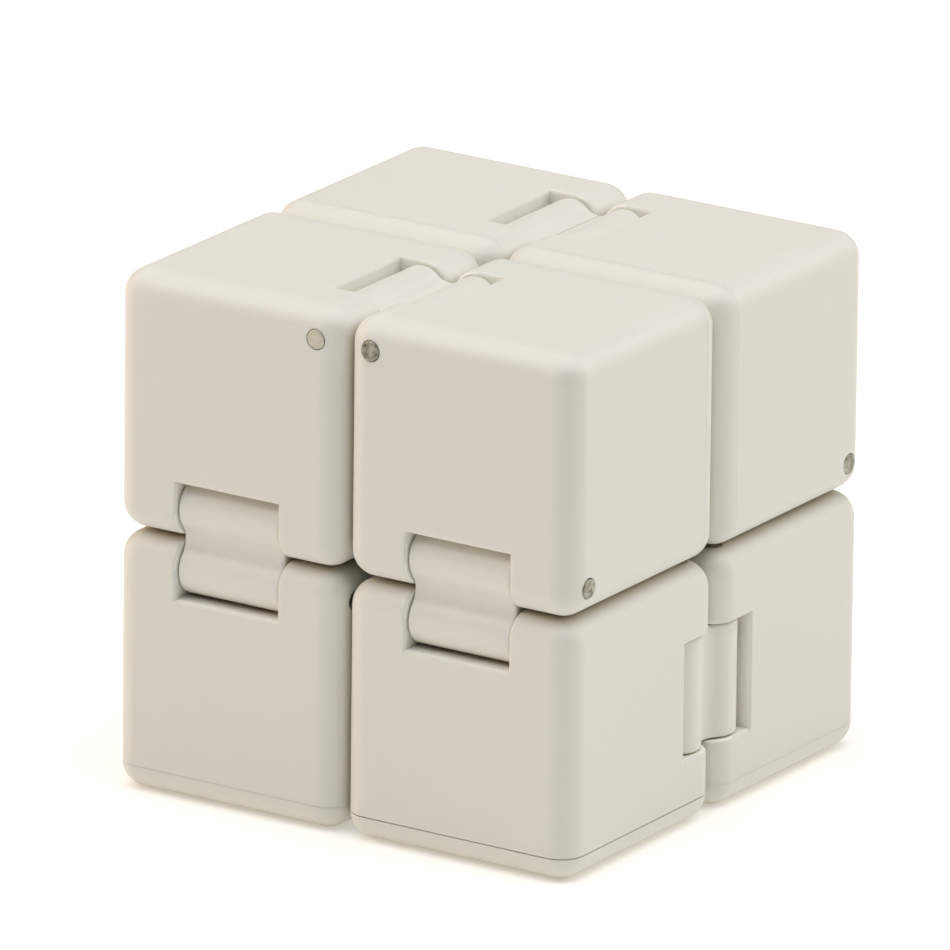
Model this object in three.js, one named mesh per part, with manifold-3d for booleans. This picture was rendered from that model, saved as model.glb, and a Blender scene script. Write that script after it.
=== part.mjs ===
// A folding fidget cube: eight hollow cubelets joined edge to edge by eight double-pin hinge links, in one closed ring.
// Millimetres, +Z up. The origin is the centre of the cube's underside; -Y is the front and +X the right side.
// Each cubelet is a five-sided moulded shell, closed by a lid, with two notched hinge edges.
// Each hinge edge holds a steel pin, and each link turns on the pins of the two cubelets it joins.

import * as THREE from "three";
import { RoundedBoxGeometry } from "three/addons/geometries/RoundedBoxGeometry.js";
import { mergeVertices } from "three/addons/utils/BufferGeometryUtils.js";
import Module from "manifold-3d";

// ---- Driving dimensions -------------------------------------------------------------------

const OVERALL = 40; // closed cube, edge to edge
const SEAM = 0.24; // gap between neighbouring cubelets
const CUBELET = (OVERALL - SEAM) / 2; // edge of one cubelet
const H = CUBELET / 2;
const EDGE_R = 2.0; // rounding of every outer edge
const EDGE_STEPS = 2;

const WALL = 1.8; // shell wall
const LID_T = 2.0; // height of the parting line above the lid's face
const LID_SKIN = 1.4; // lid thickness inside its rim
const LID_GAP = 0.03; // half the gap at the parting line
const RIM_H = 1.2; // how far the lid's rim reaches into the shell
const RIM_T = 1.1;
const RIM_GAP = 0.15; // rim to shell wall

const PIN_INSET = 2.25; // pin centre to the two faces of its hinge edge
const PIN_R = 0.75;
const PIN_L = 16.8;
const PIN_SUNK = 0.15; // pin end below the face it was pushed in from
const PIN_HOLE_R = 0.79;
const PIN_HOLE_DEPTH = PIN_SUNK + PIN_L + 0.1;
const ROUND_SIDES = 16;

const NOTCH_W = 9.0; // notch along the hinge edge
const NOTCH_D = 4.6; // notch from each of the edge's two faces
const EDGE_BLOCK = 4.0; // solid bar along a hinge edge
const NOTCH_BLOCK = NOTCH_D + 1.4; // solid bar round the notch
const NOTCH_BLOCK_W = NOTCH_W + 2.8;

const LINK_W = 8.82;
const LINK_BARREL_R = 2.0;
const LINK_BORE_R = 0.8;
const LINK_WAIST_R = 1.6; // concave radius between the barrels
const LINK_PITCH = 2 * PIN_INSET + SEAM; // pin to pin
const LINK_SPLIT = 0.06; // gap at the middle of the divided link

const C = H + SEAM / 2; // cubelet centre from the middle planes
const Z_LOW = H;
const Z_HIGH = OVERALL - H;

// ---- Materials ----------------------------------------------------------------------------

const IVORY = 0xe4dfd3;
const plastic = (colour, roughness) =>
  new THREE.MeshStandardMaterial({ color: colour, roughness, metalness: 0 });
const steel = () =>
  new THREE.MeshStandardMaterial({
    color: 0xa9a59b,
    roughness: 0.45,
    metalness: 1,
  });

// ---- Solids -------------------------------------------------------------------------------

const wasm = await Module();
wasm.setup();

// A closed geometry as a solid that can be joined and cut.
function solid(geometry) {
  const g = geometry.clone();
  g.deleteAttribute("normal");
  g.deleteAttribute("uv");
  const merged = mergeVertices(g, 1e-4);
  return new wasm.Manifold(
    new wasm.Mesh({
      numProp: 3,
      vertProperties: new Float32Array(merged.attributes.position.array),
      triVerts: new Uint32Array(merged.index.array),
    }),
  );
}

function geometryOf(manifold) {
  const m = manifold.getMesh();
  const g = new THREE.BufferGeometry();
  const n = m.numProp;
  const position = new Float32Array(m.numVert * 3);
  for (let i = 0; i < m.numVert; i++)
    position.set(m.vertProperties.subarray(i * n, i * n + 3), i * 3);
  g.setAttribute("position", new THREE.BufferAttribute(position, 3));
  g.setIndex(new THREE.BufferAttribute(new Uint32Array(m.triVerts), 1));
  g.computeVertexNormals();
  return g;
}

// A box from its lowest corner to its highest.
function box(x0, y0, z0, x1, y1, z1) {
  return solid(
    new THREE.BoxGeometry(x1 - x0, y1 - y0, z1 - z0).translate(
      (x0 + x1) / 2,
      (y0 + y1) / 2,
      (z0 + z1) / 2,
    ),
  );
}

// A round bar along +X or +Z, from one end to the other.
function bar(axis, radius, from, to) {
  const g = new THREE.CylinderGeometry(radius, radius, to - from, ROUND_SIDES);
  if (axis === "x") g.rotateZ(-Math.PI / 2);
  else g.rotateX(Math.PI / 2);
  const mid = (from + to) / 2;
  return axis === "x" ? g.translate(mid, 0, 0) : g.translate(0, 0, mid);
}

function prism(points, z0, z1) {
  const shape = new THREE.Shape(points.map(([x, y]) => new THREE.Vector2(x, y)));
  return solid(
    new THREE.ExtrudeGeometry(shape, {
      depth: z1 - z0,
      bevelEnabled: false,
    }).translate(0, 0, z0),
  );
}

// ---- One cubelet, about its own centre ------------------------------------------------------
// Hinge edge A runs along X where the -Y and +Z faces meet; its pin is pushed in from the -X face.
// Hinge edge B runs along Z where the +X and +Y faces meet; its pin is pushed in from the +Z face.
// The lid closes the -Z face.

const FAR = H + 5;
const block = new RoundedBoxGeometry(
  CUBELET,
  CUBELET,
  CUBELET,
  EDGE_STEPS,
  EDGE_R,
);
const PARTING = -H + LID_T;

function cubeletShell() {
  const inner = H - WALL;
  const cavity = box(-inner, -inner, PARTING - 0.5, inner, inner, inner)
    .subtract(box(-FAR, -FAR, H - EDGE_BLOCK, FAR, -H + EDGE_BLOCK, FAR))
    .subtract(
      box(
        -NOTCH_BLOCK_W / 2,
        -FAR,
        H - NOTCH_BLOCK,
        NOTCH_BLOCK_W / 2,
        -H + NOTCH_BLOCK,
        FAR,
      ),
    )
    .subtract(box(H - EDGE_BLOCK, H - EDGE_BLOCK, -FAR, FAR, FAR, FAR))
    .subtract(
      box(
        H - NOTCH_BLOCK,
        H - NOTCH_BLOCK,
        -NOTCH_BLOCK_W / 2,
        FAR,
        FAR,
        FAR,
      ),
    );
  const half = NOTCH_W / 2;
  const holeA = solid(
    bar("x", PIN_HOLE_R, -FAR, -H + PIN_HOLE_DEPTH).translate(
      0,
      -H + PIN_INSET,
      H - PIN_INSET,
    ),
  );
  const holeB = solid(
    bar("z", PIN_HOLE_R, H - PIN_HOLE_DEPTH, FAR).translate(
      H - PIN_INSET,
      H - PIN_INSET,
      0,
    ),
  );
  return solid(block)
    .subtract(box(-FAR, -FAR, -FAR, FAR, FAR, PARTING + LID_GAP))
    .subtract(cavity)
    .subtract(box(-half, -FAR, H - NOTCH_D, half, -H + NOTCH_D, FAR))
    .subtract(box(H - NOTCH_D, H - NOTCH_D, -half, FAR, FAR, half))
    .subtract(holeA)
    .subtract(holeB);
}

function cubeletLid() {
  const outer = H - WALL - RIM_GAP;
  const step = H - EDGE_BLOCK - RIM_GAP; // the rim steps round hinge edge B's bar
  const inner = outer - RIM_T;
  const innerStep = step - RIM_T;
  const outline = (k, s) => [
    [-k, -k],
    [k, -k],
    [k, s],
    [s, s],
    [s, k],
    [-k, k],
  ];
  return solid(block)
    .intersect(box(-FAR, -FAR, -FAR, FAR, FAR, PARTING - LID_GAP))
    .add(prism(outline(outer, step), PARTING - 0.4, PARTING + RIM_H))
    .subtract(prism(outline(inner, innerStep), -H + LID_SKIN, FAR));
}

// The two pins, in the same frame.
const pinA = geometryOf(
  solid(
    bar("x", PIN_R, -H + PIN_SUNK, -H + PIN_SUNK + PIN_L).translate(
      0,
      -H + PIN_INSET,
      H - PIN_INSET,
    ),
  ),
);
const pinB = geometryOf(
  solid(
    bar("z", PIN_R, H - PIN_SUNK - PIN_L, H - PIN_SUNK).translate(
      H - PIN_INSET,
      H - PIN_INSET,
      0,
    ),
  ),
);

const shell = geometryOf(cubeletShell());
const lid = geometryOf(cubeletLid());

// ---- One link, about its own centre ---------------------------------------------------------
// A dog-bone section in the XY plane, its length along X, its two bores along Z.

function linkGeometry() {
  const half = LINK_PITCH / 2;
  const sum = LINK_BARREL_R + LINK_WAIST_R;
  const rise = Math.sqrt(sum * sum - half * half);
  const lean = Math.atan2(rise, half); // direction from a barrel's centre to the waist arc's centre
  const points = [];
  const arc = (cx, cy, r, from, to, steps, skipFirst) => {
    for (let i = skipFirst ? 1 : 0; i <= steps; i++) {
      const t = from + ((to - from) * i) / steps;
      points.push([cx + r * Math.cos(t), cy + r * Math.sin(t)]);
    }
  };
  const turn = Math.PI - lean;
  arc(half, 0, LINK_BARREL_R, -turn, turn, 14, false);
  arc(0, rise, LINK_WAIST_R, -lean, -Math.PI + lean, 4, true);
  arc(-half, 0, LINK_BARREL_R, Math.PI - turn, Math.PI + turn, 14, true);
  arc(0, -rise, LINK_WAIST_R, Math.PI - lean, lean, 4, true);
  points.pop(); // the last point closes on the first
  const shape = new THREE.Shape(points.map(([x, y]) => new THREE.Vector2(x, y)));
  for (const cx of [-half, half]) {
    const hole = [];
    for (let i = 0; i < ROUND_SIDES; i++) {
      const t = (2 * Math.PI * i) / ROUND_SIDES;
      hole.push(
        new THREE.Vector2(
          cx + LINK_BORE_R * Math.cos(t),
          LINK_BORE_R * Math.sin(t),
        ),
      );
    }
    shape.holes.push(new THREE.Path(hole));
  }
  return new THREE.ExtrudeGeometry(shape, {
    depth: LINK_W,
    bevelEnabled: false,
  }).translate(0, 0, -LINK_W / 2);
}

const linkSolid = solid(linkGeometry());
const link = geometryOf(linkSolid);
const linkHalfRight = geometryOf(
  linkSolid.subtract(box(-FAR, -FAR, -FAR, LINK_SPLIT / 2, FAR, FAR)),
);
const linkHalfLeft = geometryOf(
  linkSolid.subtract(box(-LINK_SPLIT / 2, -FAR, -FAR, FAR, FAR, FAR)),
);

// ---- Assembly -------------------------------------------------------------------------------

const fidgetCube = new THREE.Group();
fidgetCube.name = "folding_fidget_cube";

// A copy of a geometry turned by three axis vectors. A mirroring set turns each face round.
function turned(geometry, ex, ey, ez) {
  const g = geometry.clone();
  const m = new THREE.Matrix4().makeBasis(
    new THREE.Vector3(...ex),
    new THREE.Vector3(...ey),
    new THREE.Vector3(...ez),
  );
  g.applyMatrix4(m);
  if (m.determinant() < 0) {
    const a = g.index.array;
    for (let i = 0; i < a.length; i += 3) [a[i + 1], a[i + 2]] = [a[i + 2], a[i + 1]];
  }
  g.computeVertexNormals();
  return g;
}

function place(name, geometry, material, position, parent = fidgetCube) {
  const mesh = new THREE.Mesh(geometry, material);
  mesh.name = name;
  mesh.position.set(...position);
  parent.add(mesh);
  return mesh;
}

// The lower cubelets are mirror images of one another, and so are the upper ones.
// An upper cubelet is the lower one's mirror image, turned so that its lid faces the middle plane.
const LOWER = [
  [1, 0, 0],
  [0, 1, 0],
  [0, 0, 1],
];
const UPPER = [
  [-1, 0, 0],
  [0, 0, 1],
  [0, -1, 0],
];
const mirrored = (basis, sx, sy) => basis.map(([x, y, z]) => [x * sx, y * sy, z]);

const CUBELETS = [
  // name, side, front or back, level, pin of edge A, pin of edge B
  ["bottom_front_right", 1, 1, "low", "front_right_lower", "right_front"],
  ["bottom_front_left", -1, 1, "low", "front_left_lower", "left_front"],
  ["bottom_back_right", 1, -1, "low", "back_right_lower", "right_back"],
  ["bottom_back_left", -1, -1, "low", "back_left_lower", "left_back"],
  ["top_front_right", 1, 1, "high", "front_right_upper", "top_front_right"],
  ["top_front_left", -1, 1, "high", "front_left_upper", "top_front_left"],
  ["top_back_right", 1, -1, "high", "back_right_upper", "top_back_right"],
  ["top_back_left", -1, -1, "high", "back_left_upper", "top_back_left"],
];

for (const [name, sx, sy, level, edgeA, edgeB] of CUBELETS) {
  const basis = mirrored(level === "low" ? LOWER : UPPER, sx, sy);
  const cubelet = new THREE.Group();
  cubelet.name = "cubelet_" + name;
  cubelet.position.set(sx * C, -sy * C, level === "low" ? Z_LOW : Z_HIGH);
  place("shell_" + name, turned(shell, ...basis), plastic(IVORY, 0.5), [0, 0, 0], cubelet);
  place("lid_" + name, turned(lid, ...basis), plastic(IVORY, 0.5), [0, 0, 0], cubelet);
  place("pin_" + edgeA, turned(pinA, ...basis), steel(), [0, 0, 0], cubelet);
  place("pin_" + edgeB, turned(pinB, ...basis), steel(), [0, 0, 0], cubelet);
  fidgetCube.add(cubelet);
}

const X = [1, 0, 0];
const Y = [0, 1, 0];
const Z = [0, 0, 1];
const OUT = OVERALL / 2 - PIN_INSET; // pin plane of the front, back and side links
const MID = OVERALL / 2; // height of the seam between the two layers
const TOP = OVERALL - PIN_INSET;
const ivoryLink = () => plastic(0xe8e3d9, 0.45);

// length along the joint between the two cubelets, bores along the hinge edge
place("link_front_right", turned(link, Z, Y, [-1, 0, 0]), ivoryLink(), [C, -OUT, MID]);
place("link_front_left", turned(link, Z, Y, [-1, 0, 0]), ivoryLink(), [-C, -OUT, MID]);
place("link_back_right", turned(link, Z, Y, [-1, 0, 0]), ivoryLink(), [C, OUT, MID]);
place("link_back_left", turned(link, Z, Y, [-1, 0, 0]), ivoryLink(), [-C, OUT, MID]);
place("link_right", turned(link, Y, [-1, 0, 0], Z), ivoryLink(), [OUT, 0, Z_LOW]);
place("link_left", turned(link, Y, [-1, 0, 0], Z), ivoryLink(), [-OUT, 0, Z_LOW]);
place("link_top_front", turned(link, X, Z, [0, -1, 0]), ivoryLink(), [0, -C, TOP]);
place("link_top_back_right_half", turned(linkHalfRight, X, Z, [0, -1, 0]), ivoryLink(), [0, C, TOP]);
place("link_top_back_left_half", turned(linkHalfLeft, X, Z, [0, -1, 0]), ivoryLink(), [0, C, TOP]);

export default fidgetCube;
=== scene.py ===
import math

import bmesh
import bpy
import numpy as np
from mathutils import Matrix, Vector, noise


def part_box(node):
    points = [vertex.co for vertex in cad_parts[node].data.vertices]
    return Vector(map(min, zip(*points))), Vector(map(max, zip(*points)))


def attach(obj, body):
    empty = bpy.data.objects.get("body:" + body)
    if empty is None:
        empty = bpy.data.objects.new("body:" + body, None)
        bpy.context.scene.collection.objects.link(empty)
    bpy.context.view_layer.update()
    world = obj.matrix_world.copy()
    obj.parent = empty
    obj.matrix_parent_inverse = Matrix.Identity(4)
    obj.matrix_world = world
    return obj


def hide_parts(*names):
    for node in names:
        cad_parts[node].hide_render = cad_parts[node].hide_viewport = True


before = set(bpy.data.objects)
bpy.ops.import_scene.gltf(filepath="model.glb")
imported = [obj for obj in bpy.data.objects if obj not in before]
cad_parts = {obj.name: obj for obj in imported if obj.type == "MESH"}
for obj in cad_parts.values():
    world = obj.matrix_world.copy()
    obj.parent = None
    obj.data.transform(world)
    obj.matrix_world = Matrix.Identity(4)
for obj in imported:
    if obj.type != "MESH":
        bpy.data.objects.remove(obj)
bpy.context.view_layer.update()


# ---- Camera -----------------------------------------------------------------------------------
# The view of the photograph: 33 degrees round to the right, 18 degrees up, a long lens from 1.35 m.

AZ, EL, ROLL = math.radians(32.914), math.radians(18.099), math.radians(0.649)
DIST = 1.3477
FOCAL_PX = 18313.6
SHIFT_PX = (15.67, 32.54)


def make_camera():
    to_cam = Vector(
        (math.sin(AZ) * math.cos(EL), -math.cos(AZ) * math.cos(EL), math.sin(EL))
    )
    fwd = -to_cam
    right = fwd.cross(Vector((0, 0, 1))).normalized()
    up = right.cross(fwd).normalized()
    r = right * math.cos(ROLL) + up * math.sin(ROLL)
    u = -right * math.sin(ROLL) + up * math.cos(ROLL)
    mm = DIST / FOCAL_PX  # one pixel at the cube's middle
    place = (
        Vector((0, 0, 0.020))
        + to_cam * DIST
        - r * SHIFT_PX[0] * mm
        + u * SHIFT_PX[1] * mm
    )
    data = bpy.data.cameras.new("camera")
    data.sensor_width = 36.0
    data.sensor_fit = "HORIZONTAL"
    data.lens = FOCAL_PX / 950 * 36.0
    data.clip_start = 0.05
    data.clip_end = 20
    cam = bpy.data.objects.new("camera", data)
    m = Matrix((r, u, to_cam)).transposed().to_4x4()
    m.translation = place
    cam.matrix_world = m
    bpy.context.scene.collection.objects.link(cam)
    bpy.context.scene.camera = cam
    return cam


make_camera()

# ---- Dimensions, in millimetres, read from the frame where it holds them ------------------------

lo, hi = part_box("shell_top_front_right")
CUBELET = (hi.x - lo.x) * 1000
H = CUBELET / 2
C = (lo.x + hi.x) * 500
Z_HIGH = (lo.z + hi.z) * 500
lo_l, hi_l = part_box("shell_bottom_front_right")
Z_LOW = hi_l.z * 1000 - H
EDGE_R = 2.0
PARTING = -H + 2.0
PIN_R = 0.75
pin_lo, pin_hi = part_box("pin_right_front")
PIN_INSET = C + H - (pin_lo.x + pin_hi.x) * 500
PIN_L = (pin_hi.z - pin_lo.z) * 1000
PIN_SUNK = Z_LOW + H - pin_hi.z * 1000
link_lo, link_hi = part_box("link_right")
LINK_W = (link_hi.z - link_lo.z) * 1000
BARREL_R = (link_hi.x - link_lo.x) * 500
LINK_PITCH = (link_hi.y - link_lo.y) * 1000 - 2 * BARREL_R
NOTCH_W, NOTCH_D = 9.0, 4.4
WALL = 1.8
EDGE_BLOCK, NOTCH_BLOCK, NOTCH_BLOCK_W = 4.0, 6.0, 11.8
RIM_H, RIM_T, RIM_GAP, LID_SKIN = 1.2, 1.1, 0.15, 1.4
FAR = H + 5

# ---- Mesh helpers -------------------------------------------------------------------------------

scratch = bpy.data.collections.new("scratch")
bpy.context.scene.collection.children.link(scratch)


def temp(name, bm_or_mesh):
    if isinstance(bm_or_mesh, bmesh.types.BMesh):
        me = bpy.data.meshes.new(name)
        bm_or_mesh.to_mesh(me)
        bm_or_mesh.free()
    else:
        me = bm_or_mesh
    ob = bpy.data.objects.new(name, me)
    scratch.objects.link(ob)
    return ob


def bake(ob):
    """The object's mesh with its modifiers applied; the object is removed."""
    bpy.context.view_layer.update()
    dg = bpy.context.evaluated_depsgraph_get()
    me = bpy.data.meshes.new_from_object(ob.evaluated_get(dg))
    bpy.data.objects.remove(ob, do_unlink=True)
    return me


def block_bm(radius, segments):
    bm = bmesh.new()
    bmesh.ops.create_cube(bm, size=CUBELET)
    bmesh.ops.bevel(
        bm,
        geom=list(bm.edges),
        offset=radius,
        offset_type="OFFSET",
        segments=segments,
        profile=0.5,
        affect="EDGES",
        clamp_overlap=False,
    )
    return bm


def box_bm(x0, y0, z0, x1, y1, z1):
    bm = bmesh.new()
    bmesh.ops.create_cube(bm, size=1)
    for v in bm.verts:
        v.co = Vector(
            (
                x0 if v.co.x < 0 else x1,
                y0 if v.co.y < 0 else y1,
                z0 if v.co.z < 0 else z1,
            )
        )
    return bm


def lathe_bm(profile, sides, closed_ends=True):
    """A solid of revolution about Z from (radius, z) pairs; the first and last radius are 0."""
    bm = bmesh.new()
    rings = []
    for r, z in profile:
        if r < 1e-9:
            rings.append([bm.verts.new((0, 0, z))])
        else:
            rings.append(
                [
                    bm.verts.new(
                        (
                            r * math.cos(2 * math.pi * i / sides),
                            r * math.sin(2 * math.pi * i / sides),
                            z,
                        )
                    )
                    for i in range(sides)
                ]
            )
    for a, b in zip(rings, rings[1:]):
        for i in range(sides):
            j = (i + 1) % sides
            if len(a) == 1:
                bm.faces.new((a[0], b[j], b[i]))
            elif len(b) == 1:
                bm.faces.new((a[i], a[j], b[0]))
            else:
                bm.faces.new((a[i], a[j], b[j], b[i]))
    bmesh.ops.recalc_face_normals(bm, faces=bm.faces)
    return bm


def prism_bm(points, z0, z1):
    bm = bmesh.new()
    low = [bm.verts.new((x, y, z0)) for x, y in points]
    high = [bm.verts.new((x, y, z1)) for x, y in points]
    bm.faces.new(list(reversed(low)))
    bm.faces.new(high)
    n = len(points)
    for i in range(n):
        j = (i + 1) % n
        bm.faces.new((low[i], low[j], high[j], high[i]))
    bmesh.ops.recalc_face_normals(bm, faces=bm.faces)
    return bm


def cut(base, cutters):
    """base object with (operation, cutter object) booleans applied."""
    for op, c in cutters:
        m = base.modifiers.new("cut", "BOOLEAN")
        m.operation = op
        m.solver = "EXACT"
        m.object = c
    me = bake(base)
    for _, c in cutters:
        bpy.data.objects.remove(c, do_unlink=True)
    return me


def soften(me, rule, width, segments=3):
    """Rounds the sharp edges of me. rule(edge middle, both face normals) gives the share of width for an edge, or 0."""
    bm = bmesh.new()
    bm.from_mesh(me)
    bmesh.ops.remove_doubles(bm, verts=bm.verts, dist=1e-4)
    bmesh.ops.dissolve_limit(
        bm,
        angle_limit=math.radians(0.4),
        verts=bm.verts,
        edges=bm.edges,
    )
    layer = bm.edges.layers.float.get("bevel_weight_edge") or bm.edges.layers.float.new(
        "bevel_weight_edge"
    )
    for e in bm.edges:
        e[layer] = 0
        if len(e.link_faces) != 2:
            continue
        na, nb = e.link_faces[0].normal, e.link_faces[1].normal
        if na.angle(nb, 0) > math.radians(24):
            mid = (e.verts[0].co + e.verts[1].co) / 2
            e[layer] = max(0.0, min(1.0, rule(mid, na, nb, e.is_convex)))
    bm.to_mesh(me)
    bm.free()
    ob = temp("soft", me)
    m = ob.modifiers.new("bevel", "BEVEL")
    m.limit_method = "WEIGHT"
    m.width = width
    m.offset_type = "OFFSET"
    m.segments = segments
    m.profile = 0.5
    m.use_clamp_overlap = False
    m.miter_outer = "MITER_SHARP"
    return bake(ob)


# ---- Shell ----------------------------------------------------------------------------------------


def hole_cutter(radius, depth_from, depth_to, mouth, countersink, sides=48):
    """A pin hole's cutter along Z, blind at depth_from, with a small countersink at its mouth height."""
    return lathe_bm(
        [
            (0, depth_from),
            (radius, depth_from),
            (radius, mouth - countersink),
            (radius + countersink * 2.2, mouth + countersink * 1.2),
            (radius + countersink * 2.2, depth_to),
            (0, depth_to),
        ],
        sides,
    )


def shell_mesh(gap, parting_soft):
    inner = H - WALL
    base = temp("shell", block_bm(EDGE_R, 14))
    half = NOTCH_W / 2
    cavity = temp("cavity", box_bm(-inner, -inner, PARTING - 0.5, inner, inner, inner))
    cav = cut(
        cavity,
        [
            ("DIFFERENCE", temp("c", box_bm(-FAR, -FAR, H - EDGE_BLOCK, FAR, -H + EDGE_BLOCK, FAR))),
            ("DIFFERENCE", temp("c", box_bm(-NOTCH_BLOCK_W / 2, -FAR, H - NOTCH_BLOCK, NOTCH_BLOCK_W / 2, -H + NOTCH_BLOCK, FAR))),
            ("DIFFERENCE", temp("c", box_bm(H - EDGE_BLOCK, H - EDGE_BLOCK, -FAR, FAR, FAR, FAR))),
            ("DIFFERENCE", temp("c", box_bm(H - NOTCH_BLOCK, H - NOTCH_BLOCK, -NOTCH_BLOCK_W / 2, FAR, FAR, FAR))),
        ],
    )
    depth = PIN_SUNK + PIN_L + 0.1
    bm_a = hole_cutter(0.80, H - depth, FAR, H, 0.045)
    # hole A: along X, its mouth at -X
    for v in bm_a.verts:
        x, y, z = v.co
        v.co = Vector((-z, -H + PIN_INSET + y, H - PIN_INSET + x))
    bmesh.ops.recalc_face_normals(bm_a, faces=bm_a.faces)
    bm_b = hole_cutter(0.80, H - depth, FAR, H, 0.045)
    for v in bm_b.verts:
        v.co += Vector((H - PIN_INSET, H - PIN_INSET, 0))
    me = cut(
        base,
        [
            ("DIFFERENCE", temp("c", box_bm(-FAR, -FAR, -FAR, FAR, FAR, PARTING + gap))),
            ("DIFFERENCE", temp("c", cav)),
            ("DIFFERENCE", temp("c", box_bm(-half, -FAR, H - NOTCH_D, half, -H + NOTCH_D, FAR))),
            ("DIFFERENCE", temp("c", box_bm(H - NOTCH_D, H - NOTCH_D, -half, FAR, FAR, half))),
            ("DIFFERENCE", temp("c", bm_a)),
            ("DIFFERENCE", temp("c", bm_b)),
        ],
    )

    def rule(mid, na, nb, convex):
        if abs(mid.z - (PARTING + gap)) < 0.002:
            outer = max(abs(mid.x), abs(mid.y)) > H - 0.7
            return parting_soft if outer else 0
        if not convex:
            return 0
        in_a = abs(mid.x) < half + 0.02 and mid.y < -H + NOTCH_D + 0.02 and mid.z > H - NOTCH_D - 0.02
        in_b = mid.x > H - NOTCH_D - 0.02 and mid.y > H - NOTCH_D - 0.02 and abs(mid.z) < half + 0.02
        if in_a or in_b:
            # the hole's rims inside the notch stay sharp
            ra = math.hypot(mid.y - (-H + PIN_INSET), mid.z - (H - PIN_INSET))
            rb = math.hypot(mid.x - (H - PIN_INSET), mid.y - (H - PIN_INSET))
            if (in_a and ra < 0.9) or (in_b and rb < 0.9):
                return 0
            return 1.0
        return 0

    return mark_notch_light(soften(me, rule, 0.26, 4))


def mark_notch_light(me):
    """1 on the walls of the two hinge notches, whose colour is painted paler than the faces: painted light, for light
    reaching into the notches.
    """
    half = NOTCH_W / 2
    values = []
    for p in me.polygons:
        c = p.center
        deep_a = -H + 0.12 < c.y < -H + NOTCH_D + 0.05 and H - NOTCH_D - 0.05 < c.z < H - 0.12
        deep_b = H - NOTCH_D - 0.05 < c.x < H - 0.12 and H - NOTCH_D - 0.05 < c.y < H - 0.12
        inside = (abs(c.x) < half + 0.05 and deep_a) or (abs(c.z) < half + 0.05 and deep_b)
        values.append(1.0 if inside else 0.0)
    me.attributes.new("notch_light", "FLOAT", "FACE").data.foreach_set("value", values)
    return me


def lid_mesh(gap, parting_soft):
    outer = H - WALL - RIM_GAP
    step = H - EDGE_BLOCK - RIM_GAP
    inner, inner_step = outer - RIM_T, step - RIM_T

    def outline(k, s):
        return [(-k, -k), (k, -k), (k, s), (s, s), (s, k), (-k, k)]

    me = cut(
        temp("lid", block_bm(EDGE_R, 14)),
        [
            ("DIFFERENCE", temp("c", box_bm(-FAR, -FAR, PARTING - gap, FAR, FAR, FAR))),
            ("UNION", temp("c", prism_bm(outline(outer, step), PARTING - 0.4, PARTING + RIM_H))),
            ("DIFFERENCE", temp("c", prism_bm(outline(inner, inner_step), -H + LID_SKIN, FAR))),
        ],
    )

    def rule(mid, na, nb, convex):
        if abs(mid.z - (PARTING - gap)) < 0.002 and max(abs(mid.x), abs(mid.y)) > H - 0.7:
            return parting_soft
        if mid.z > PARTING + RIM_H - 0.02:
            return 0.9
        return 0

    return soften(me, rule, 0.26, 4)


# ---- Link -----------------------------------------------------------------------------------------


def link_profile(grow=0.0):
    half = LINK_PITCH / 2
    rb = BARREL_R + grow
    rw = 1.6 - grow
    total = rb + rw
    rise = math.sqrt(total * total - half * half)
    lean = math.atan2(rise, half)
    turn = math.pi - lean
    pts = []

    def arc(cx, cy, r, a0, a1, steps, skip):
        for i in range(1 if skip else 0, steps + 1):
            t = a0 + (a1 - a0) * i / steps
            pts.append((cx + r * math.cos(t), cy + r * math.sin(t)))

    arc(half, 0, rb, -turn, turn, 56, False)
    arc(0, rise, rw, -lean, -math.pi + lean, 18, True)
    arc(-half, 0, rb, math.pi - turn, math.pi + turn, 56, True)
    arc(0, -rise, rw, math.pi - lean, lean, 18, True)
    pts.pop()
    return pts


def link_mesh(keep=None):
    """The dog-bone link: length along X, bores along Z. keep is None, 'right' or 'left' for the divided one."""
    base = temp("link", prism_bm(link_profile(), -LINK_W / 2, LINK_W / 2))
    cutters = [
        (
            "DIFFERENCE",
            temp("c", move_bm(lathe_bm([(0, -FAR), (0.8, -FAR), (0.8, FAR), (0, FAR)], 48), (s * LINK_PITCH / 2, 0, 0))),
        )
        for s in (-1, 1)
    ]
    if keep == "right":
        cutters.append(("DIFFERENCE", temp("c", box_bm(-FAR, -FAR, -FAR, 0.03, FAR, FAR))))
    if keep == "left":
        cutters.append(("DIFFERENCE", temp("c", box_bm(-0.03, -FAR, -FAR, FAR, FAR, FAR))))
    me = cut(base, cutters)

    def rule(mid, na, nb, convex):
        if abs(abs(mid.z) - LINK_W / 2) < 0.01:
            r = math.hypot(abs(mid.x) - LINK_PITCH / 2, mid.y)
            if r < 0.85:
                return 0.2
            if keep and abs(mid.x) < 0.04:
                return 0.0
            return 1.0
        return 0

    return soften(me, rule, 0.24, 4)


def move_bm(bm, offset):
    for v in bm.verts:
        v.co += Vector(offset)
    return bm


# ---- Pin ------------------------------------------------------------------------------------------


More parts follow.
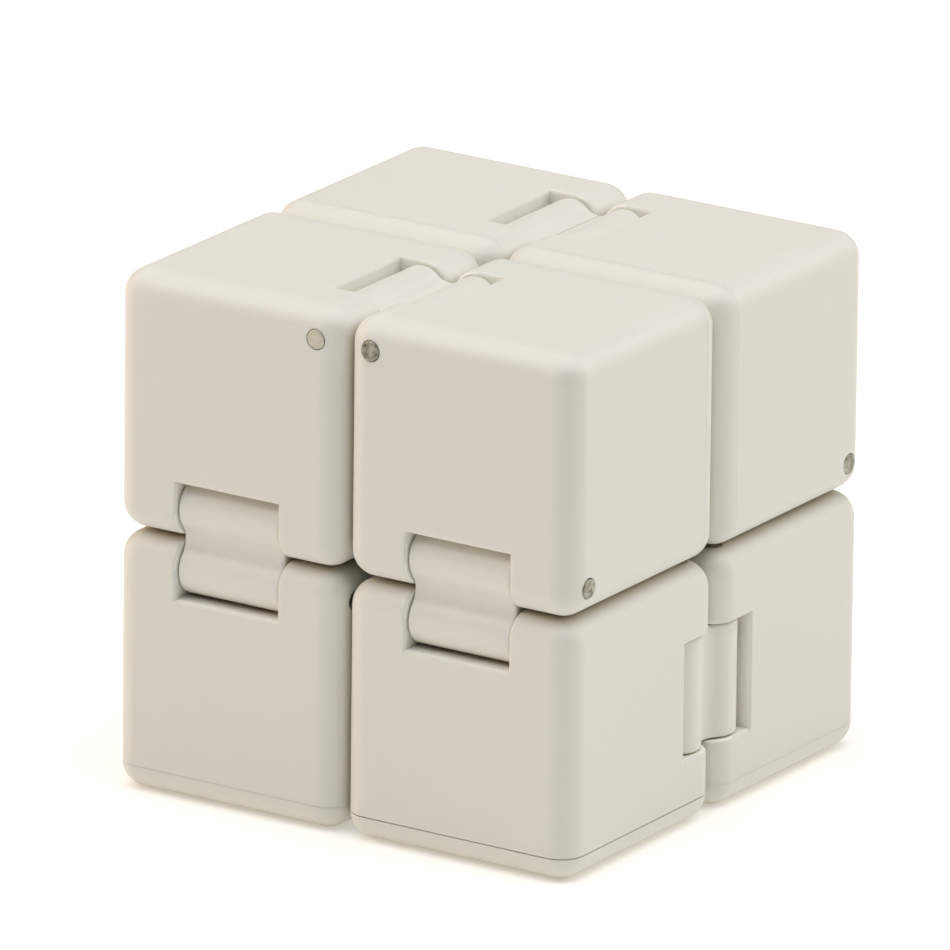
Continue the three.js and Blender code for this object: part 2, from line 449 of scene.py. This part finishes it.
def pin_mesh(seed, rough, tilt, sunk):
    """A steel pin along +Z, its sheared end at the top, in the canonical place of the pin's own axis (z = 0 at the cubelet's centre)."""
    sides, rings = 72, 18
    top = H - sunk
    bottom = H - PIN_SUNK - PIN_L
    chamfer = 0.10
    bm = bmesh.new()
    loops = []

    def ring(r, zf):
        loops.append(
            [
                bm.verts.new(
                    (
                        r * math.cos(2 * math.pi * i / sides),
                        r * math.sin(2 * math.pi * i / sides),
                        zf(2 * math.pi * i / sides),
                    )
                )
                for i in range(sides)
            ]
        )

    centre_low = bm.verts.new((0, 0, bottom))
    ring(PIN_R - 0.12, lambda a: bottom)
    ring(PIN_R, lambda a: bottom + 0.12)
    for k in range(1, 6):
        ring(PIN_R, lambda a, k=k: bottom + 0.12 + (top - 0.3 - bottom - 0.12) * k / 5)
    ring(PIN_R, lambda a: top - chamfer - 0.02)

    def wobble(x, y):
        p = Vector((x * 2.1 + seed * 7.3, y * 2.1 - seed * 3.1, seed * 1.7))
        big = noise.noise(p)
        small = noise.noise(p * 3.3)
        ridge = 1 - abs(noise.noise(p * 1.6 + Vector((3, 1, 2)))) * 2
        return rough * (0.55 * big + 0.25 * small + 0.3 * max(0, ridge) - 0.2)

    def face_z(r, a):
        x, y = r * math.cos(a), r * math.sin(a)
        edge = max(0.0, (r - (PIN_R - chamfer)) / chamfer)
        z = top + tilt[0] * x + tilt[1] * y + wobble(x, y) * (1 - 0.5 * edge)
        dome = -0.035 * (r / PIN_R) ** 2
        drop = -chamfer * (1 - math.sqrt(max(0.0, 1 - edge * edge))) if edge > 0 else 0
        return z + dome + drop

    edge_rings = [PIN_R - chamfer * (1 - math.sin(t * math.pi / 2 / 5)) for t in range(5, -1, -1)]
    for r in edge_rings[1:]:
        ring(r, lambda a, r=r: face_z(r, a))
    for k in range(rings - 1, 0, -1):
        ring((PIN_R - chamfer) * k / rings, lambda a, r=(PIN_R - chamfer) * k / rings: face_z(r, a))
    centre = bm.verts.new((0, 0, face_z(0, 0)))
    for a, b in zip(loops, loops[1:]):
        for i in range(sides):
            j = (i + 1) % sides
            bm.faces.new((a[i], a[j], b[j], b[i]))
    for i in range(sides):
        j = (i + 1) % sides
        bm.faces.new((loops[-1][i], loops[-1][j], centre))
        bm.faces.new((loops[0][j], loops[0][i], centre_low))
    bmesh.ops.recalc_face_normals(bm, faces=bm.faces)
    me = bpy.data.meshes.new("pin")
    bm.to_mesh(me)
    bm.free()
    return me


# ---- Materials --------------------------------------------------------------------------------------


def new_material(name):
    m = bpy.data.materials.new(name)
    m.use_nodes = True
    nt = m.node_tree
    nt.nodes.clear()
    out = nt.nodes.new("ShaderNodeOutputMaterial")
    bsdf = nt.nodes.new("ShaderNodeBsdfPrincipled")
    nt.links.new(bsdf.outputs["BSDF"], out.inputs["Surface"])
    return m, nt, bsdf


def noise_node(nt, coords, scale, detail=3, rough=0.55, offset=(0, 0, 0)):
    mp = nt.nodes.new("ShaderNodeMapping")
    mp.inputs["Location"].default_value = offset
    nt.links.new(coords, mp.inputs["Vector"])
    n = nt.nodes.new("ShaderNodeTexNoise")
    n.inputs["Scale"].default_value = scale
    n.inputs["Detail"].default_value = detail
    n.inputs["Roughness"].default_value = rough
    nt.links.new(mp.outputs["Vector"], n.inputs["Vector"])
    return n.outputs["Fac"]


def remap(nt, value, a, b, c, d):
    n = nt.nodes.new("ShaderNodeMapRange")
    n.inputs["From Min"].default_value = a
    n.inputs["From Max"].default_value = b
    n.inputs["To Min"].default_value = c
    n.inputs["To Max"].default_value = d
    nt.links.new(value, n.inputs["Value"])
    return n.outputs["Result"]


def maths(nt, op, a, b):
    n = nt.nodes.new("ShaderNodeMath")
    n.operation = op
    for i, v in enumerate((a, b)):
        if isinstance(v, (int, float)):
            n.inputs[i].default_value = v
        else:
            nt.links.new(v, n.inputs[i])
    return n.outputs[0]


def mix_colour(nt, fac, a, b, mode="MIX"):
    n = nt.nodes.new("ShaderNodeMix")
    n.data_type = "RGBA"
    n.blend_type = mode
    n.clamp_factor = True
    if isinstance(fac, (int, float)):
        n.inputs[0].default_value = fac
    else:
        nt.links.new(fac, n.inputs[0])
    for sock, v in ((n.inputs[6], a), (n.inputs[7], b)):
        if isinstance(v, tuple):
            sock.default_value = (*v, 1)
        else:
            nt.links.new(v, sock)
    return n.outputs[2]


def plastic(name, base, shade, rough, offset, crevice_shade_tint=(0.74, 0.64, 0.44), notch_light_colour=(0.86, 0.84, 0.79)):
    """Ivory moulded ABS: faint flow mottling, fine spark-eroded grain, polished edges, painted warm shade in the
    crevices and painted light on the notch walls.
    """
    m, nt, bsdf = new_material(name)
    tc = nt.nodes.new("ShaderNodeTexCoord")
    co = tc.outputs["Object"]
    mottle = noise_node(nt, co, 95, 4, 0.6, offset)
    cloud = noise_node(nt, co, 420, 3, 0.6, offset)
    speck = noise_node(nt, co, 2600, 2, 0.5, offset)
    var = maths(
        nt,
        "ADD",
        remap(nt, mottle, 0.3, 0.7, 0, 0.7),
        remap(nt, cloud, 0.3, 0.7, 0, 0.3),
    )
    colour = mix_colour(nt, var, shade, base)
    # painted shade: an ambient-occlusion mask darkens and warms the colour in crevices and seams, where less light
    # reaches
    ao = nt.nodes.new("ShaderNodeAmbientOcclusion")
    ao.samples = 6
    ao.inputs["Distance"].default_value = 0.0011
    painted_crevice_shade = remap(nt, ao.outputs["AO"], 0.12, 0.62, 0.55, 0.0)
    crevice_shaded = mix_colour(nt, 1.0, colour, crevice_shade_tint, "MULTIPLY")
    colour = mix_colour(nt, painted_crevice_shade, colour, crevice_shaded)
    # painted light: the notch walls are mixed towards a paler colour, standing in for light that reaches into the
    # notches
    notch_light = nt.nodes.new("ShaderNodeAttribute")
    notch_light.attribute_name = "notch_light"
    colour = mix_colour(nt, notch_light.outputs["Fac"], colour, notch_light_colour)
    nt.links.new(colour, bsdf.inputs["Base Color"])
    # polished where fingers rub: the rounded edges
    edge = nt.nodes.new("ShaderNodeAttribute")
    edge.attribute_name = "edge"
    r = maths(
        nt,
        "ADD",
        remap(nt, cloud, 0.25, 0.75, rough - 0.05, rough + 0.05),
        remap(nt, edge.outputs["Fac"], 0, 1, 0, -0.07),
    )
    nt.links.new(r, bsdf.inputs["Roughness"])
    grain = noise_node(nt, co, 9000, 2, 0.5, offset)
    peel = noise_node(nt, co, 1300, 2, 0.5, offset)
    height = maths(
        nt,
        "ADD",
        maths(nt, "MULTIPLY", grain, 0.35),
        maths(nt, "ADD", maths(nt, "MULTIPLY", speck, 0.35), maths(nt, "MULTIPLY", peel, 0.6)),
    )
    bump = nt.nodes.new("ShaderNodeBump")
    bump.inputs["Strength"].default_value = 0.35
    bump.inputs["Distance"].default_value = 0.000012
    nt.links.new(height, bump.inputs["Height"])
    nt.links.new(bump.outputs["Normal"], bsdf.inputs["Normal"])
    bsdf.inputs["IOR"].default_value = 1.5
    bsdf.inputs["Specular IOR Level"].default_value = 0.5
    bsdf.inputs["Subsurface Weight"].default_value = 0.2
    bsdf.inputs["Subsurface Radius"].default_value = (1.0, 0.82, 0.58)
    bsdf.inputs["Subsurface Scale"].default_value = 0.0008
    return m


def sheared_steel(name, light, dark, rough, seed):
    m, nt, bsdf = new_material(name)
    tc = nt.nodes.new("ShaderNodeTexCoord")
    co = tc.outputs["Object"]
    off = (seed * 0.013, seed * 0.007, 0)
    blot = noise_node(nt, co, 2300, 4, 0.65, off)
    fine = noise_node(nt, co, 9000, 3, 0.6, off)
    fac = maths(
        nt,
        "ADD",
        remap(nt, blot, 0.36, 0.62, 0, 0.75),
        remap(nt, fine, 0.3, 0.7, 0, 0.25),
    )
    nt.links.new(mix_colour(nt, fac, dark, light), bsdf.inputs["Base Color"])
    bsdf.inputs["Metallic"].default_value = 0.6
    nt.links.new(remap(nt, fine, 0.3, 0.7, rough - 0.08, rough + 0.1), bsdf.inputs["Roughness"])
    bump = nt.nodes.new("ShaderNodeBump")
    bump.inputs["Strength"].default_value = 0.6
    bump.inputs["Distance"].default_value = 0.00003
    nt.links.new(maths(nt, "ADD", blot, maths(nt, "MULTIPLY", fine, 0.4)), bump.inputs["Height"])
    nt.links.new(bump.outputs["Normal"], bsdf.inputs["Normal"])
    return m


IVORY = (0.702, 0.679, 0.620)
IVORY_SHADE = (0.694, 0.670, 0.609)
abs_shell = plastic("ivory_abs_shell", IVORY, IVORY_SHADE, 0.47, (0, 0, 0))
abs_lid = plastic("ivory_abs_lid", IVORY, IVORY_SHADE, 0.47, (0.03, 0.01, 0.02))
abs_link = plastic("ivory_abs_link", (0.712, 0.688, 0.630), (0.700, 0.675, 0.616), 0.40, (0.05, 0.02, 0.01))
steel = sheared_steel("sheared_steel", (0.49, 0.46, 0.375), (0.12, 0.108, 0.08), 0.38, 1)
# painted light: a paler copy of the steel for the pins that sit in the shade of the seams; the top front left pin's end
# is also paler of its own
steel_pale_and_painted_light = sheared_steel("pale_steel_painted_light", (0.56, 0.53, 0.44), (0.45, 0.42, 0.34), 0.45, 4)

# ---- Placing ----------------------------------------------------------------------------------------

LOWER = Matrix(((1, 0, 0), (0, 1, 0), (0, 0, 1)))
# canonical x, y, z axes go to -X, +Z, -Y
UPPER = Matrix(((-1, 0, 0), (0, 0, -1), (0, 1, 0)))


def basis_of(level, sx, sy):
    m = (LOWER if level == "low" else UPPER).copy()
    return Matrix.Diagonal((sx, sy, 1)) @ m


def edge_attribute(me):
    """How rounded the surface is at each point: 0 on flats, 1 in the middle of a rounded edge."""
    n = np.zeros(len(me.vertices) * 3, np.float32)
    me.vertices.foreach_get("normal", n)
    n = np.abs(n.reshape(-1, 3))
    share = np.clip((1 - n.max(1)) / 0.29, 0, 1).astype(np.float32)
    a = me.attributes.new("edge", "FLOAT", "POINT")
    a.data.foreach_set("value", share)


def finish_mesh(me, basis, centre, name):
    """me turned by basis, moved to centre, in metres, with face normals out."""
    me = me.copy()
    me.name = name
    m = Matrix.Translation(Vector(centre) / 1000) @ basis.to_4x4() @ Matrix.Scale(0.001, 4)
    me.transform(m)
    if basis.determinant() < 0:
        me.flip_normals()
    return me


def clean_shading(me):
    """Flat faces shade flat, rounded edges run smoothly onto them, and hard edges stay hard."""
    n_poly, n_loop, n_vert = len(me.polygons), len(me.loops), len(me.vertices)
    me.polygons.foreach_set("use_smooth", np.ones(n_poly, bool))
    normal = np.zeros(n_poly * 3, np.float32)
    me.polygons.foreach_get("normal", normal)
    normal = normal.reshape(-1, 3).astype(float)
    area = np.zeros(n_poly, np.float32)
    me.polygons.foreach_get("area", area)
    area = area.astype(float)
    total = np.zeros(n_poly, np.int32)
    me.polygons.foreach_get("loop_total", total)
    face = np.repeat(np.arange(n_poly), total)
    vert = np.zeros(n_loop, np.int32)
    me.loops.foreach_get("vertex_index", vert)
    flat = (area > 2.5e-6) & (np.abs(normal).max(1) > 0.9999)
    order = np.argsort(vert, kind="stable")
    count = np.bincount(vert, minlength=n_vert)
    start = np.concatenate(([0], np.cumsum(count)[:-1]))
    flat_sum, smooth_sum = np.zeros((n_loop, 3)), np.zeros((n_loop, 3))
    for k in range(int(count.max())):
        # every loop against the k-th face round its vertex
        has = count[vert] > k
        loops = np.nonzero(has)[0]
        other = face[order[start[vert[loops]] + k]]
        cos = (normal[face[loops]] * normal[other]).sum(1)
        w = normal[other] * area[other][:, None]
        take = flat[other] & (cos > math.cos(math.radians(24)))
        flat_sum[loops[take]] += w[take]
        take = ~flat[other] & (cos > math.cos(math.radians(38)))
        smooth_sum[loops[take]] += w[take]
    on_flat = (flat_sum**2).sum(1) > 0
    out = np.where(on_flat[:, None], flat_sum, smooth_sum)
    out = np.where((out**2).sum(1, keepdims=True) > 0, out, normal[face])
    out /= np.linalg.norm(out, axis=1, keepdims=True)
    me.normals_split_custom_set(out.tolist())


def piece(name, me, material, body, node, slot_name):
    me.materials.clear()
    me.materials.append(material)
    if slot_name != "pin":
        clean_shading(me)
        edge_attribute(me)
    ob = bpy.data.objects.new(name, me)
    bpy.context.scene.collection.objects.link(ob)
    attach(ob, body)
    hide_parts(node)
    return ob


# the lid's parting line: open at the front right, closing up at the front left, and tight on the others
SEAMS = {"open": (0.03, 0.16), "close": (0.007, 0.03), "tight": (0.004, 0.012)}
SEAM_OF = {"bottom_front_right": "open", "bottom_front_left": "close"}
shells = {k: shell_mesh(*v) for k, v in SEAMS.items()}
lids = {k: lid_mesh(*v) for k, v in SEAMS.items()}
link_me = link_mesh()
link_right_me = link_mesh("right")
link_left_me = link_mesh("left")

CUBELETS = [
    ("bottom_front_right", 1, 1, "low", "front_right_lower", "right_front"),
    ("bottom_front_left", -1, 1, "low", "front_left_lower", "left_front"),
    ("bottom_back_right", 1, -1, "low", "back_right_lower", "right_back"),
    ("bottom_back_left", -1, -1, "low", "back_left_lower", "left_back"),
    ("top_front_right", 1, 1, "high", "front_right_upper", "top_front_right"),
    ("top_front_left", -1, 1, "high", "front_left_upper", "top_front_left"),
    ("top_back_right", 1, -1, "high", "back_right_upper", "top_back_right"),
    ("top_back_left", -1, -1, "high", "back_left_upper", "top_back_left"),
]
# how each pin's end was sheared: seed, roughness of the face in mm, tilt, depth below the face, steel (the paler steel
# is painted light on the pins in the seams' shade, and the top front left pin's own paler end)
PIN_LOOK = {
    "top_front_left": (3, 0.012, (0.02, 0.05), -0.06, "pale_painted_light"),
    "top_front_right": (5, 0.085, (0.02, -0.04), -0.15, "dull"),
    "top_back_left": (6, 0.050, (-0.02, 0.03), -0.07, "dull"),
    "top_back_right": (7, 0.070, (0.03, 0.02), -0.08, "dull"),
    "front_right_upper": (8, 0.080, (-0.05, 0.02), -0.11, "dull"),
    "front_left_upper": (9, 0.060, (0.04, 0.02), -0.08, "dull"),
    "right_back": (23, 0.03, (0.01, 0.02), 0.04, "pale_painted_light"),
    "right_front": (24, 0.03, (0.02, -0.01), 0.05, "pale_painted_light"),
    "left_back": (25, 0.03, (0.01, 0.02), 0.05, "pale_painted_light"),
    "left_front": (26, 0.03, (-0.01, 0.02), 0.05, "pale_painted_light"),
    "back_right_upper": (12, 0.040, (0.03, 0.03), -0.02, "dull"),
    "back_left_upper": (13, 0.070, (0.02, -0.03), -0.09, "dull"),
    "front_left_lower": (14, 0.060, (0.02, 0.02), 0.70, "dull"),
}

# pin about its own axis (Z up, entry end high) to the canonical frame of the cubelet
PIN_A = Matrix(((0, 0, -1), (0, 1, 0), (1, 0, 0)))  # z -> -x
PIN_B = Matrix.Identity(3)

for i, (name, sx, sy, level, edge_a, edge_b) in enumerate(CUBELETS):
    basis = basis_of(level, sx, sy)
    centre = (sx * C, -sy * C, Z_LOW if level == "low" else Z_HIGH)
    body = "cubelet_" + name
    seam = SEAM_OF.get(name, "tight")
    piece("shell_" + name + "_fine", finish_mesh(shells[seam], basis, centre, "shell"), abs_shell, body, "shell_" + name, "shell")
    piece("lid_" + name + "_fine", finish_mesh(lids[seam], basis, centre, "lid"), abs_lid, body, "lid_" + name, "lid")
    for k, (edge, turn, offset) in enumerate(
        (
            (edge_a, PIN_A, (0, -H + PIN_INSET, H - PIN_INSET)),
            (edge_b, PIN_B, (H - PIN_INSET, H - PIN_INSET, 0)),
        )
    ):
        seed, rough, tilt, sunk, kind = PIN_LOOK.get(
            edge, (20 + 2 * i + k, 0.06, (0.03, -0.02), 0.18, "dull")
        )
        me = pin_mesh(seed, rough, tilt, sunk)
        me.transform(Matrix.Translation(offset) @ turn.to_4x4())
        if turn.determinant() < 0:
            me.flip_normals()
        for p in me.polygons:
            p.use_smooth = True
        piece(
            "pin_" + edge + "_fine",
            finish_mesh(me, basis, centre, "pin"),
            steel_pale_and_painted_light if kind == "pale_painted_light" else steel,
            body,
            "pin_" + edge,
            "pin",
        )

OUT = C + H - PIN_INSET
MID = (Z_LOW + Z_HIGH) / 2
TOP = Z_HIGH + H - PIN_INSET


def cols(ex, ey, ez):
    return Matrix((ex, ey, ez)).transposed()


X, Y, Z = (1, 0, 0), (0, 1, 0), (0, 0, 1)
UPRIGHT = cols(Z, Y, (-1, 0, 0))
SIDE = cols(Y, (-1, 0, 0), Z)
FLAT = cols(X, Z, (0, -1, 0))
for name, me, basis, at in (
    ("link_front_right", link_me, UPRIGHT, (C, -OUT, MID)),
    ("link_front_left", link_me, UPRIGHT, (-C, -OUT, MID)),
    ("link_back_right", link_me, UPRIGHT, (C, OUT, MID)),
    ("link_back_left", link_me, UPRIGHT, (-C, OUT, MID)),
    ("link_right", link_me, SIDE, (OUT, 0, Z_LOW)),
    ("link_left", link_me, SIDE, (-OUT, 0, Z_LOW)),
    ("link_top_front", link_me, FLAT, (0, -C, TOP)),
    ("link_top_back_right_half", link_right_me, FLAT, (0, C, TOP)),
    ("link_top_back_left_half", link_left_me, FLAT, (0, C, TOP)),
):
    piece(name + "_fine", finish_mesh(me, basis, at, "link"), abs_link, name, name, "link")

bpy.context.scene.collection.children.unlink(scratch)
bpy.data.collections.remove(scratch)

# ---- Floor and light ----------------------------------------------------------------------------------


def floor():
    bm = bmesh.new()
    bmesh.ops.create_grid(bm, x_segments=8, y_segments=8, size=3.0)
    me = bpy.data.meshes.new("floor")
    bm.to_mesh(me)
    bm.free()
    ob = bpy.data.objects.new("floor", me)
    bpy.context.scene.collection.objects.link(ob)
    m, nt, bsdf = new_material("pale_floor")
    bsdf.inputs["Base Color"].default_value = (0.77, 0.76, 0.735, 1)
    bsdf.inputs["Roughness"].default_value = 0.7
    bsdf.inputs["Emission Color"].default_value = (1, 0.98, 0.93, 1)
    bsdf.inputs["Emission Strength"].default_value = 0.32
    me.materials.append(m)
    return ob


floor()


def softbox(name, az, el, dist, size, power, colour=(1, 1, 1)):
    """A square soft light aimed at the cube, az degrees round from the front to the right."""
    d = bpy.data.lights.new(name, "AREA")
    d.shape = "RECTANGLE"
    d.size, d.size_y = size
    d.energy = power
    d.color = colour
    ob = bpy.data.objects.new(name, d)
    a, e = math.radians(az), math.radians(el)
    ob.location = (
        dist * math.sin(a) * math.cos(e),
        -dist * math.cos(a) * math.cos(e),
        dist * math.sin(e) + 0.02,
    )
    ob.rotation_euler = (
        (Vector((0, 0, 0.02)) - ob.location).to_track_quat("-Z", "Y").to_euler()
    )
    bpy.context.scene.collection.objects.link(ob)
    return ob


softbox("over", -15, 80, 0.9, (1.3, 1.3), 11.3, (0.887, 0.95, 1.0))
softbox("left", -72, 24, 0.9, (0.8, 0.8), 4.4, (1.0, 0.745, 0.54))
softbox("right_top", 108, 50, 0.9, (0.8, 0.8), 2.0, (1.0, 0.93, 0.82))
softbox("right_back", 145, 24, 0.9, (0.7, 0.7), 3.0, (1.0, 0.97, 0.97))

world = bpy.data.worlds.new("studio")
world.use_nodes = True
world.node_tree.nodes["Background"].inputs["Color"].default_value = (1.0, 1.0, 1.0, 1)
world.node_tree.nodes["Background"].inputs["Strength"].default_value = 0.02
bpy.context.scene.world = world

bpy.context.scene.view_settings.view_transform = "Standard"
bpy.context.scene.view_settings.look = "None"
